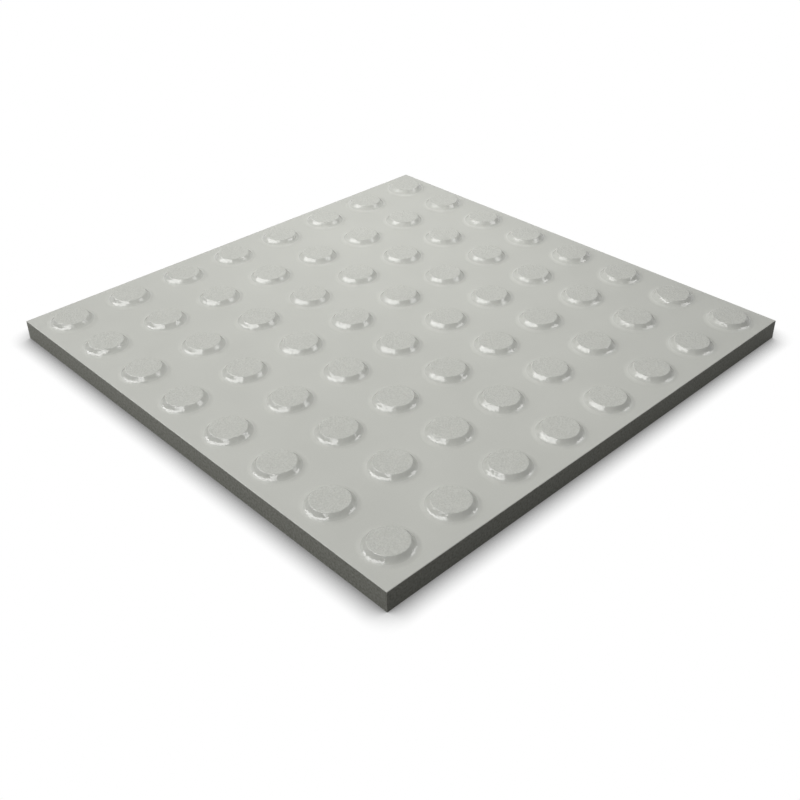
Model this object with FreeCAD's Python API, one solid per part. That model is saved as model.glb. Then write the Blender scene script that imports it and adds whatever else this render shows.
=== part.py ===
import FreeCAD, Part
import os

# Square tactile paving slab, moulded in one piece: rows of flat-topped blisters on the walking face,
# and a grid of shallow pockets that keys the underside into its bed.
# Sizes are in millimetres. The origin is the middle of the underside, with +Z up.

# Slab body
SLAB_LENGTH = 400.0
SLAB_WIDTH = 400.0
SLAB_THICKNESS = 15.0
ARRIS = 0.5

# Blisters on the walking face, in rows centred on the slab
BLISTER_PITCH = 50.0
BLISTER_TOP_DIAMETER = 25.0
BLISTER_BASE_DIAMETER = 32.0
BLISTER_HEIGHT = 4.5

# Square pockets in the underside, with ribs between them and at least this border round them
POCKET_SIDE = 52.0
POCKET_DEPTH = 1.0
POCKET_RIB = 12.0
POCKET_BORDER = 10.0

# Keeps a count whole where a row fits its length exactly
COUNT_MARGIN = 1e-6

NODE = "tactile_paving_slab"


def centred_row(count, pitch):
    """Places of a row of copies, centred on zero."""
    first = -0.5 * (count - 1) * pitch
    return [first + step * pitch for step in range(count)]


def blister_row(length):
    """One blister for each whole pitch along a side."""
    count = int(length / BLISTER_PITCH + COUNT_MARGIN)
    return centred_row(count, BLISTER_PITCH)


def pocket_row(length):
    """An even number of pockets between the borders, so that two ribs cross in the middle."""
    pitch = POCKET_SIDE + POCKET_RIB
    room = length - 2.0 * POCKET_BORDER + POCKET_RIB
    pairs = int(0.5 * room / pitch + COUNT_MARGIN)
    return centred_row(2 * pairs, pitch)


def slab_body():
    """The plain slab, with a fine bevel along its four upper edges."""
    corner = FreeCAD.Vector(-0.5 * SLAB_LENGTH, -0.5 * SLAB_WIDTH, 0.0)
    block = Part.makeBox(SLAB_LENGTH, SLAB_WIDTH, SLAB_THICKNESS, corner)
    upper_edges = [edge for edge in block.Edges if edge.BoundBox.ZMin > 0.5 * SLAB_THICKNESS]
    return block.makeChamfer(ARRIS, upper_edges)


def blister_profile():
    """Half section of a blister: flat top and sloping flank, beside the turning axis."""
    points = [
        FreeCAD.Vector(0.0, 0.0, 0.0),
        FreeCAD.Vector(0.5 * BLISTER_BASE_DIAMETER, 0.0, 0.0),
        FreeCAD.Vector(0.5 * BLISTER_TOP_DIAMETER, 0.0, BLISTER_HEIGHT),
        FreeCAD.Vector(0.0, 0.0, BLISTER_HEIGHT),
    ]
    return Part.Face(Part.makePolygon(points + points[:1]))


def blisters():
    """One blister turned from its profile, and a copy of it at each place on the walking face."""
    turned = blister_profile().revolve(FreeCAD.Vector(0, 0, 0), FreeCAD.Vector(0, 0, 1), 360.0)
    copies = []
    for x in blister_row(SLAB_LENGTH):
        for y in blister_row(SLAB_WIDTH):
            copies.append(turned.translated(FreeCAD.Vector(x, y, SLAB_THICKNESS)))
    return copies


def pockets():
    """Square pockets, open at the underside."""
    copies = []
    for x in pocket_row(SLAB_LENGTH):
        for y in pocket_row(SLAB_WIDTH):
            corner = FreeCAD.Vector(x - 0.5 * POCKET_SIDE, y - 0.5 * POCKET_SIDE, 0.0)
            copies.append(Part.makeBox(POCKET_SIDE, POCKET_SIDE, POCKET_DEPTH, corner))
    return copies


slab = slab_body().fuse(blisters()).cut(pockets()).removeSplitter()

os.makedirs("parts", exist_ok=True)
slab.exportStep(os.path.join("parts", NODE + ".step"))
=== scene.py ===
import math

import bmesh
import bpy
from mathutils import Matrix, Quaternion, Vector


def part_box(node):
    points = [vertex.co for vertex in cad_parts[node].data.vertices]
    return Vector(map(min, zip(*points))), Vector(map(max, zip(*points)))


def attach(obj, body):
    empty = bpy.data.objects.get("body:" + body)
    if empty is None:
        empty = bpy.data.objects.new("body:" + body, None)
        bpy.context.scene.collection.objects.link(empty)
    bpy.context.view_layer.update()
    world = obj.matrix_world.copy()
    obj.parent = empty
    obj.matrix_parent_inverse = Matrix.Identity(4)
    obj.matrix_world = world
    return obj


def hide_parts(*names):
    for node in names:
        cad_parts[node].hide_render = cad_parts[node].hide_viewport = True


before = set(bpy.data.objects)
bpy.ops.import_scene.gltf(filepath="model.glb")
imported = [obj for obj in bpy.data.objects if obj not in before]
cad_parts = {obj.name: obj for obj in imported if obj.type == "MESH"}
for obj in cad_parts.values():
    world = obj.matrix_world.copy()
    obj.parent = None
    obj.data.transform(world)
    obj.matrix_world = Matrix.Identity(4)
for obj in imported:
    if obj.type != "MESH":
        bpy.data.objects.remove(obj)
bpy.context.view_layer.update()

# Tactile paving slab: a moulded ceramic slab with rows of flat-topped blisters, on a white floor.
# Everything is in metres, in the frame of the CAD node.

NODE = "tactile_paving_slab"
MM = 0.001

# Slab body: the outer sizes come from the node
slab_low, slab_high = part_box(NODE)
HALF_SIDE = 0.5 * (slab_high.x - slab_low.x)
ARRIS_ROUND = 0.5 * MM
ARRIS_STEPS = 3
SIDE_ROWS = 4

# Blisters: sharp-cornered sizes, and the rounds at the rim and at the toe
BLISTER_PITCH = 50.0 * MM
BLISTER_HEIGHT = 4.5 * MM
BLISTER_TOP_RADIUS = 12.5 * MM
BLISTER_BASE_RADIUS = 16.0 * MM
RIM_ROUND = 1.0 * MM
TOE_ROUND = 6.5 * MM
RIM_STEPS = 5
TOE_STEPS = 8
DISC_RINGS = (0.66, 0.33)
AROUND = 64
WALK_Z = slab_high.z - BLISTER_HEIGHT
BLISTERS_PER_SIDE = round(2.0 * HALF_SIDE / BLISTER_PITCH)

# Pockets that key the underside
POCKETS_PER_SIDE = 6
POCKET_SIDE = 52.0 * MM
POCKET_RIB = 12.0 * MM
POCKET_DEPTH = 1.0 * MM
POCKET_DRAFT = 0.4 * MM

MERGE_DISTANCE = 0.001 * MM
SHARP_ANGLE = math.radians(35.0)

# Order of the two materials on the slab
GLAZED = 0
# the bare material's darker grey is painted shade on the sides and underside
BARE_SHADED = 1

# Camera: the photograph's view, as a distance and angles from a point on the floor
CAMERA_AIM = Vector((-0.01238, -0.02880, 0.0))
CAMERA_DISTANCE = 0.77916
CAMERA_AZIMUTH = math.radians(-44.077)
CAMERA_ELEVATION = math.radians(32.491)
CAMERA_ROLL = math.radians(-0.513)
CAMERA_LENS = 47.467
CAMERA_SHIFT = (-0.01788, -0.05225)
CAMERA_SENSOR = 36.0
CAMERA_NEAR = 0.01


def blister_section():
    """Half section of a blister as (radius, height) pairs, from the end of the toe to the flat top."""
    slope = math.atan2(BLISTER_HEIGHT, BLISTER_BASE_RADIUS - BLISTER_TOP_RADIUS)
    toe_end = BLISTER_BASE_RADIUS + TOE_ROUND * math.tan(0.5 * slope)
    rim_end = BLISTER_TOP_RADIUS - RIM_ROUND * math.tan(0.5 * slope)
    section = []
    for step in range(TOE_STEPS + 1):
        turn = slope * step / TOE_STEPS
        section.append((toe_end - TOE_ROUND * math.sin(turn), TOE_ROUND * (1.0 - math.cos(turn))))
    for step in range(RIM_STEPS + 1):
        turn = slope * (1.0 - step / RIM_STEPS)
        drop = RIM_ROUND * (1.0 - math.cos(turn))
        section.append((rim_end + RIM_ROUND * math.sin(turn), BLISTER_HEIGHT - drop))
    section.extend((rim_end * share, BLISTER_HEIGHT) for share in DISC_RINGS)
    return section


def row_centres(count, pitch):
    """Places of a row of copies, centred on zero."""
    return [(step - 0.5 * (count - 1)) * pitch for step in range(count)]


def clamped(value, limit):
    """A value kept within a limit either side of zero."""
    return max(-limit, min(limit, value))


def blister_spokes():
    """Directions from a blister's middle to the points of its rings."""
    turns = [2.0 * math.pi * step / AROUND for step in range(AROUND)]
    return [Vector((math.cos(turn), math.sin(turn))) for turn in turns]


def cell_outline():
    """Points round a square of one pitch, one on each spoke of the blister."""
    return [0.5 * BLISTER_PITCH * spoke / max(abs(spoke.x), abs(spoke.y)) for spoke in blister_spokes()]


def slab_outline():
    """Points round the slab, in the same places as the outlines of the cells along its border."""
    corner_step = AROUND // 8
    side = [0.5 * BLISTER_PITCH * math.tan(2.0 * math.pi * step / AROUND)
            for step in range(-corner_step, corner_step)]
    run = [centre + place for centre in row_centres(BLISTERS_PER_SIDE, BLISTER_PITCH) for place in side]
    outline = [Vector((place, -HALF_SIDE)) for place in run]
    outline += [Vector((HALF_SIDE, place)) for place in run]
    outline += [Vector((-place, HALF_SIDE)) for place in run]
    outline += [Vector((-HALF_SIDE, -place)) for place in run]
    return outline


def ring(bm, outline, z, limit):
    """A ring of vertices on an outline that is kept within a square of the given half side."""
    return [bm.verts.new((clamped(p.x, limit), clamped(p.y, limit), z)) for p in outline]


def bridge(bm, first, second):
    """Faces between two closed rings of the same length."""
    for here in range(len(first)):
        there = (here + 1) % len(first)
        bm.faces.new((first[here], first[there], second[there], second[here]))


def add_walking_face(bm):
    """One cell for each blister: a flat square, the toe, the flank, the rim and the flat top."""
    section = blister_section()
    square = cell_outline()
    spokes = blister_spokes()
    for x in row_centres(BLISTERS_PER_SIDE, BLISTER_PITCH):
        for y in row_centres(BLISTERS_PER_SIDE, BLISTER_PITCH):
            centre = Vector((x, y))
            last = ring(bm, [centre + p for p in square], WALK_Z, HALF_SIDE - ARRIS_ROUND)
            for radius, height in section:
                z = WALK_Z + height
                circle = [bm.verts.new((x + radius * s.x, y + radius * s.y, z)) for s in spokes]
                bridge(bm, last, circle)
                last = circle
            middle = bm.verts.new((x, y, WALK_Z + BLISTER_HEIGHT))
            for here in range(AROUND):
                bm.faces.new((last[here], last[(here + 1) % AROUND], middle))


def add_sides(bm):
    """The rounded arris and the four sides. Returns the ring at the underside."""
    outline = slab_outline()
    last = None
    for step in range(ARRIS_STEPS + 1):
        turn = 0.5 * math.pi * step / ARRIS_STEPS
        limit = HALF_SIDE - ARRIS_ROUND * (1.0 - math.sin(turn))
        current = ring(bm, outline, WALK_Z - ARRIS_ROUND * (1.0 - math.cos(turn)), limit)
        if last:
            bridge(bm, last, current)
        last = current
    side_top = WALK_Z - ARRIS_ROUND
    for row in range(1, SIDE_ROWS + 1):
        current = ring(bm, outline, side_top * (1.0 - row / SIDE_ROWS), HALF_SIDE)
        bridge(bm, last, current)
        last = current
    return last


def pocket_lines():
    """Places of the pockets' edges along one side, in order."""
    lines = []
    for centre in row_centres(POCKETS_PER_SIDE, POCKET_SIDE + POCKET_RIB):
        lines += [centre - 0.5 * POCKET_SIDE, centre + 0.5 * POCKET_SIDE]
    return lines


def add_pocket(bm, mouth):
    """A shallow pocket above its mouth, with sloping walls."""
    centre = sum((v.co for v in mouth), Vector()) / len(mouth)
    floor = []
    for vert in mouth:
        inward = Vector((math.copysign(POCKET_DRAFT, centre.x - vert.co.x),
                         math.copysign(POCKET_DRAFT, centre.y - vert.co.y), POCKET_DEPTH))
        floor.append(bm.verts.new(vert.co + inward))
    bridge(bm, mouth, floor)
    bm.faces.new(floor)


def add_border(bm, outer, inner, along):
    """Triangles between two chains of vertices that run the same way along one side."""
    here, there = 0, 0
    while here < len(outer) - 1 or there < len(inner) - 1:
        outer_left = here < len(outer) - 1
        inner_left = there < len(inner) - 1
        step_outer = outer_left and (
            not inner_left or along(outer[here + 1].co) <= along(inner[there + 1].co))
        if step_outer:
            bm.faces.new((outer[here], outer[here + 1], inner[there]))
            here += 1
        else:
            bm.faces.new((outer[here], inner[there + 1], inner[there]))
            there += 1


def add_underside(bm, edge_ring):
    """Ribs and pockets, and the plain border out to the ring at the slab's edge."""
    lines = pocket_lines()
    count = len(lines)
    grid = [[bm.verts.new((x, y, 0.0)) for y in lines] for x in lines]
    for i in range(count - 1):
        for j in range(count - 1):
            square = [grid[i][j], grid[i + 1][j], grid[i + 1][j + 1], grid[i][j + 1]]
            if i % 2 == 0 and j % 2 == 0:
                add_pocket(bm, square)
            else:
                bm.faces.new(square)
    quarter = len(edge_ring) // 4
    closed = edge_ring + edge_ring[:1]
    inner_sides = [
        [grid[i][0] for i in range(count)],
        grid[-1],
        [grid[i][-1] for i in reversed(range(count))],
        grid[0][::-1],
    ]
    directions = [Vector((1, 0, 0)), Vector((0, 1, 0)), Vector((-1, 0, 0)), Vector((0, -1, 0))]
    for side in range(4):
        outer = closed[side * quarter:(side + 1) * quarter + 1]
        add_border(bm, outer, inner_sides[side], directions[side].dot)


def mark_sharp(bm):
    """Smooth shading, except over edges that turn sharply."""
    for face in bm.faces:
        face.smooth = True
    for edge in bm.edges:
        edge.smooth = edge.calc_face_angle(math.pi) < SHARP_ANGLE


def set_materials(bm):
    """The glaze covers the walking face and its arris, and the rest is bare, in a darker grey that is
    painted shade.
    """
    for face in bm.faces:
        face.material_index = GLAZED if face.calc_center_median().z > WALK_Z - ARRIS_ROUND else BARE_SHADED


def slab_object():
    """The slab as one closed mesh."""
    bm = bmesh.new()
    add_walking_face(bm)
    edge_ring = add_sides(bm)
    add_underside(bm, edge_ring)
    bmesh.ops.remove_doubles(bm, verts=bm.verts, dist=MERGE_DISTANCE)
    bmesh.ops.recalc_face_normals(bm, faces=bm.faces)
    mark_sharp(bm)
    set_materials(bm)
    mesh = bpy.data.meshes.new("paving_slab")
    bm.to_mesh(mesh)
    bm.free()
    slab = bpy.data.objects.new("paving_slab", mesh)
    bpy.context.scene.collection.objects.link(slab)
    weighted = slab.modifiers.new("weighted_normals", "WEIGHTED_NORMAL")
    weighted.keep_sharp = True
    return slab


def add_node(tree, kind, values=None, links=None):
    """A shader node with its sockets set to values or linked from other nodes' outputs."""
    made = tree.nodes.new(kind)
    for name, value in (values or {}).items():
        made.inputs[name].default_value = value
    for name, output in (links or {}).items():
        tree.links.new(output, made.inputs[name])
    return made


def math_node(tree, operation, *operands):
    """A Math node; each operand is a number or an output."""
    made = tree.nodes.new("ShaderNodeMath")
    made.operation = operation
    for index, operand in enumerate(operands):
        if isinstance(operand, (int, float)):
            made.inputs[index].default_value = operand
        else:
            tree.links.new(operand, made.inputs[index])
    return made.outputs[0]


def range_node(tree, value, from_low, from_high, to_low, to_high):
    """A clamped Map Range node."""
    made = add_node(tree, "ShaderNodeMapRange",
                    {"From Min": from_low, "From Max": from_high, "To Min": to_low, "To Max": to_high},
                    {"Value": value})
    return made.outputs["Result"]


# Values of noise that few points lie outside
NOISE_LOW = 0.3
NOISE_HIGH = 0.7


def noise(tree, place, size, detail, roughness=0.5):
    """Noise whose features are about the given size."""
    made = add_node(tree, "ShaderNodeTexNoise",
                    {"Scale": 1.0 / size, "Detail": detail, "Roughness": roughness}, {"Vector": place})
    return made.outputs["Fac"]


def spread(tree, fac, to_low, to_high):
    """Noise whose usual values are spread over a range."""
    return range_node(tree, fac, NOISE_LOW, NOISE_HIGH, to_low, to_high)


def centred(tree, fac):
    """Noise about zero, so that fading it out leaves no step."""
    return math_node(tree, "SUBTRACT", fac, 0.5)


def mix_colour(tree, factor, low, high):
    """A colour between two others, each a colour or an output."""
    made = tree.nodes.new("ShaderNodeMix")
    made.data_type = "RGBA"
    tree.links.new(factor, made.inputs["Factor"])
    for name, colour in (("A", low), ("B", high)):
        if isinstance(colour, tuple):
            made.inputs[name].default_value = (*colour, 1.0)
        else:
            tree.links.new(colour, made.inputs[name])
    return made.outputs["Result"]


def new_material(name):
    """A material with an empty node tree."""
    material = bpy.data.materials.new(name)
    material.use_nodes = True
    material.node_tree.nodes.clear()
    return material


# Colours of the glazed face, and of the bare sides and underside, whose grey is darker than the face as
# painted shade
FACE_DARK = (0.440, 0.445, 0.412)
FACE_LIGHT = (0.495, 0.500, 0.465)
BODY_SHADED_DARK = (0.186, 0.187, 0.164)
BODY_SHADED_LIGHT = (0.300, 0.301, 0.268)

# Shine of the fired ceramic, where it is glazed and where it is bare
CERAMIC_IOR = 1.55
GLAZED_SPECULAR = 0.5
BARE_SPECULAR = 0.1
FACE_ROUGH = 0.56
FLANK_ROUGH = 0.12
WORN_ROUGH_ADDED = 0.10
ROUGH_CLOUDS = 0.04

# Sizes of the patterns: soft clouds, specks, the grain of the tops and the waves of the flanks
CLOUD_SIZE = 45.0 * MM
FACE_SPECK_SIZE = 1.0 * MM
BODY_SPECK_SIZE = 1.6 * MM
GRAIN_SIZE = 1.1 * MM
WAVE_SIZE = 3.5 * MM
GRAIN_HARSHNESS = 0.6
CLOUD_DETAIL = 3.0
FINE_DETAIL = 2.0

# Heights where the finish changes: under the blister tops, over the walking face, and under its edge
TOP_FADE = (0.30 * MM, 0.02 * MM)
FLANK_FADE = (0.1 * MM, 1.3 * MM)
WAVE_FADE = 1.0 * MM
WORN_FADE = (0.5 * MM, 0.3 * MM)
WORN_WANDER = 0.15 * MM

# Strength of the patterns: the range of the clouds, and specks and waves on the field and on the blisters
CLOUD_TONES = (0.3, 0.7)
SPECK_TONES = (0.15, 1.1)
WAVE_RELIEF = (0.06, 0.75)
BARE_GRAIN_RELIEF = 0.25
RELIEF_DEPTH = 0.48 * MM


def object_place(tree):
    """The place of a point in the slab's own frame."""
    return tree.nodes.new("ShaderNodeTexCoord").outputs["Object"]


def add_ceramic(tree, colour, rough, specular, relief):
    """The shader of a ceramic surface, with its material output."""
    bump = add_node(tree, "ShaderNodeBump", {"Strength": 1.0, "Distance": RELIEF_DEPTH}, {"Height": relief})
    shader = add_node(tree, "ShaderNodeBsdfPrincipled",
                      {"IOR": CERAMIC_IOR, "Specular IOR Level": specular},
                      {"Base Color": colour, "Roughness": rough, "Normal": bump.outputs["Normal"]})
    add_node(tree, "ShaderNodeOutputMaterial", links={"Surface": shader.outputs["BSDF"]})


def cloud_pattern(tree, place):
    """Soft clouds over the whole slab."""
    return noise(tree, place, CLOUD_SIZE, CLOUD_DETAIL)


def grain_pattern(tree, place):
    """The fine grain of unpolished ceramic."""
    return noise(tree, place, GRAIN_SIZE, FINE_DETAIL, GRAIN_HARSHNESS)


def shaded_body_colour(tree, place):
    """The bare body's speckled grey, darkened as painted shade on the sides and underside."""
    speckle = spread(tree, noise(tree, place, BODY_SPECK_SIZE, FINE_DETAIL), 0.0, 1.0)
    return mix_colour(tree, speckle, BODY_SHADED_DARK, BODY_SHADED_LIGHT)


def glazed_material():
    """Satin walking face, glossier flanks, finely grained tops, and an arris where the glaze wears thin."""
    material = new_material("glazed_ceramic")
    tree = material.node_tree
    place = object_place(tree)
    height = add_node(tree, "ShaderNodeSeparateXYZ", links={"Vector": place}).outputs["Z"]
    top_z = WALK_Z + BLISTER_HEIGHT
    cloud = cloud_pattern(tree, place)
    speckle = noise(tree, place, FACE_SPECK_SIZE, FINE_DETAIL)
    wave = noise(tree, place, WAVE_SIZE, FINE_DETAIL)

    on_top = range_node(tree, height, top_z - TOP_FADE[0], top_z - TOP_FADE[1], 0.0, 1.0)
    flank = math_node(tree, "MULTIPLY", range_node(tree, on_top, 0.0, 1.0, 1.0, 0.0),
                      range_node(tree, height, WALK_Z + FLANK_FADE[0], WALK_Z + FLANK_FADE[1], 0.0, 1.0))
    glaze_edge = math_node(tree, "ADD", height, spread(tree, wave, -WORN_WANDER, WORN_WANDER))
    worn = range_node(tree, glaze_edge, WALK_Z - WORN_FADE[0], WALK_Z - WORN_FADE[1], 1.0, 0.0)

    specks = math_node(tree, "MULTIPLY", spread(tree, speckle, -1.0, 1.0),
                       range_node(tree, on_top, 0.0, 1.0, *SPECK_TONES))
    tone = math_node(tree, "ADD", spread(tree, cloud, *CLOUD_TONES), specks)
    glaze = mix_colour(tree, tone, FACE_DARK, FACE_LIGHT)
    # where the glaze wears thin the body's grey shows, and that grey carries the painted shade of the sides
    colour = mix_colour(tree, worn, glaze, shaded_body_colour(tree, place))

    rough = math_node(tree, "ADD", range_node(tree, flank, 0.0, 1.0, FACE_ROUGH, FLANK_ROUGH),
                      spread(tree, cloud, 0.0, ROUGH_CLOUDS))
    rough = math_node(tree, "ADD", rough, math_node(tree, "MULTIPLY", worn, WORN_ROUGH_ADDED))

    raised = range_node(tree, height, WALK_Z, WALK_Z + WAVE_FADE, *WAVE_RELIEF)
    grain = centred(tree, grain_pattern(tree, place))
    relief = math_node(tree, "ADD", math_node(tree, "MULTIPLY", grain, on_top),
                       math_node(tree, "MULTIPLY", centred(tree, wave), raised))
    add_ceramic(tree, colour, rough, GLAZED_SPECULAR, relief)
    return material


def bare_shaded_material():
    """The fired body on the sides and the underside: dull and slightly grained, in a darker grey that is
    painted shade.
    """
    material = new_material("bare_ceramic_painted_shade")
    tree = material.node_tree
    place = object_place(tree)
    rough = spread(tree, cloud_pattern(tree, place), FACE_ROUGH, FACE_ROUGH + ROUGH_CLOUDS)
    grain = centred(tree, grain_pattern(tree, place))
    relief = math_node(tree, "MULTIPLY", grain, BARE_GRAIN_RELIEF)
    add_ceramic(tree, shaded_body_colour(tree, place), rough, BARE_SPECULAR, relief)
    return material


def seen_directly(tree):
    """One for camera, glossy and transmission rays, and zero for the rays that carry bounced light."""
    path = tree.nodes.new("ShaderNodeLightPath")
    seen = math_node(tree, "MAXIMUM", path.outputs["Is Camera Ray"], path.outputs["Is Glossy Ray"])
    return math_node(tree, "MAXIMUM", seen, path.outputs["Is Transmission Ray"])


# Floor: its size, how far it lies under the slab, and the grey that it bounces
FLOOR_HALF = 2.0
FLOOR_DROP = 0.05 * MM
FLOOR_BOUNCE = (0.03, 0.03, 0.03, 1.0)
WHITE = (1.0, 1.0, 1.0, 1.0)

# Shadow on the floor: its reach, and the white that is left from under the slab to open floor
SHADOW_REACH = 16.5 * MM
SHADOW_SAMPLES = 16
OPENNESS = (0.45, 1.0)
WHITE_LEFT = (0.17, 1.0)


def floor_material():
    """White where it is seen, with the slab's soft shadow close to it; dark for bounced light."""
    material = new_material("white_floor")
    tree = material.node_tree
    open_sky = add_node(tree, "ShaderNodeAmbientOcclusion", {"Distance": SHADOW_REACH})
    open_sky.samples = SHADOW_SAMPLES
    strength = range_node(tree, open_sky.outputs["AO"], *OPENNESS, *WHITE_LEFT)
    white = add_node(tree, "ShaderNodeEmission", {"Color": WHITE}, {"Strength": strength})
    dark = add_node(tree, "ShaderNodeBsdfDiffuse", {"Color": FLOOR_BOUNCE})
    both = add_node(tree, "ShaderNodeMixShader", links={"Fac": seen_directly(tree)})
    tree.links.new(dark.outputs[0], both.inputs[1])
    tree.links.new(white.outputs[0], both.inputs[2])
    add_node(tree, "ShaderNodeOutputMaterial", links={"Surface": both.outputs[0]})
    return material


def floor_object():
    """A plain floor, just under the slab."""
    mesh = bpy.data.meshes.new("floor")
    corners = [(-FLOOR_HALF, -FLOOR_HALF, 0.0), (FLOOR_HALF, -FLOOR_HALF, 0.0),
               (FLOOR_HALF, FLOOR_HALF, 0.0), (-FLOOR_HALF, FLOOR_HALF, 0.0)]
    mesh.from_pydata(corners, [], [(0, 1, 2, 3)])
    floor = bpy.data.objects.new("floor", mesh)
    bpy.context.scene.collection.objects.link(floor)
    floor.data.materials.append(floor_material())
    floor.location.z = -FLOOR_DROP


# Strength of the world as bounced light
AMBIENT = 0.24


def white_world():
    """White where it is seen, dim for bounced light."""
    world = bpy.data.worlds.new("white_studio")
    bpy.context.scene.world = world
    world.use_nodes = True
    tree = world.node_tree
    tree.nodes.clear()
    strength = range_node(tree, seen_directly(tree), 0.0, 1.0, AMBIENT, 1.0)
    background = add_node(tree, "ShaderNodeBackground", {"Color": WHITE}, {"Strength": strength})
    add_node(tree, "ShaderNodeOutputWorld", links={"Surface": background.outputs["Background"]})


def area_light(name, centre, aim, width, height, radiance):
    """A rectangular soft box that faces a point."""
    data = bpy.data.lights.new(name, "AREA")
    data.shape = "RECTANGLE"
    data.size = width
    data.size_y = height
    data.energy = radiance * math.pi * width * height
    lamp = bpy.data.objects.new(name, data)
    bpy.context.scene.collection.objects.link(lamp)
    lamp.location = centre
    facing = Vector(aim) - Vector(centre)
    lamp.rotation_mode = "QUATERNION"
    lamp.rotation_quaternion = facing.to_track_quat("-Z", "Y")
    lamp.visible_camera = False
    return lamp


def overhead_light(name, centre, side, radiance):
    """A square soft box that faces straight down."""
    x, y, _ = centre
    return area_light(name, centre, (x, y, 0.0), side, side, radiance)


def studio_lights():
    """Soft light from the left and from above, and panels that only give the sheen on the blisters."""
    left_aim = (0.0, 0.310, 0.530)
    right_aim = (-0.092, 0.406, 0.483)
    soft = [
        area_light("left_soft", (-0.560, 0.310, 0.530), left_aim,
                   width=1.400, height=0.450, radiance=2.9),
        overhead_light("back_low", (0.128, 0.163, 0.350), side=0.150, radiance=5.1),
        overhead_light("back_high", (0.250, 0.250, 0.600), side=0.300, radiance=3.45),
        overhead_light("front_high", (-0.050, -0.250, 0.600), side=0.300, radiance=3.45),
    ]
    sheen = [
        area_light("left_panel", (-0.530, 0.310, 0.530), left_aim,
                   width=1.400, height=0.450, radiance=5.7),
        area_light("right_panel", (0.510, -0.393, 0.483), right_aim,
                   width=0.388, height=0.415, radiance=4.2),
    ]
    for lamp in soft:
        lamp.visible_glossy = False
    for lamp in sheen:
        lamp.visible_diffuse = False


def photo_camera():
    """The camera at the photograph's view."""
    back = Vector((math.sin(CAMERA_AZIMUTH) * math.cos(CAMERA_ELEVATION),
                   -math.cos(CAMERA_AZIMUTH) * math.cos(CAMERA_ELEVATION),
                   math.sin(CAMERA_ELEVATION)))
    data = bpy.data.cameras.new("photo_camera")
    data.sensor_fit = "HORIZONTAL"
    data.sensor_width = CAMERA_SENSOR
    data.lens = CAMERA_LENS
    data.shift_x, data.shift_y = CAMERA_SHIFT
    data.clip_start = CAMERA_NEAR
    camera = bpy.data.objects.new("photo_camera", data)
    bpy.context.scene.collection.objects.link(camera)
    camera.location = CAMERA_AIM + CAMERA_DISTANCE * back
    camera.rotation_mode = "QUATERNION"
    camera.rotation_quaternion = back.to_track_quat("Z", "Y") @ Quaternion((0.0, 0.0, 1.0), CAMERA_ROLL)
    bpy.context.scene.camera = camera


slab = slab_object()
slab.data.materials.append(glazed_material())
slab.data.materials.append(bare_shaded_material())
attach(slab, "root")
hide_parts(NODE)

floor_object()
white_world()
studio_lights()
photo_camera()
bpy.context.scene.view_settings.view_transform = "Standard"
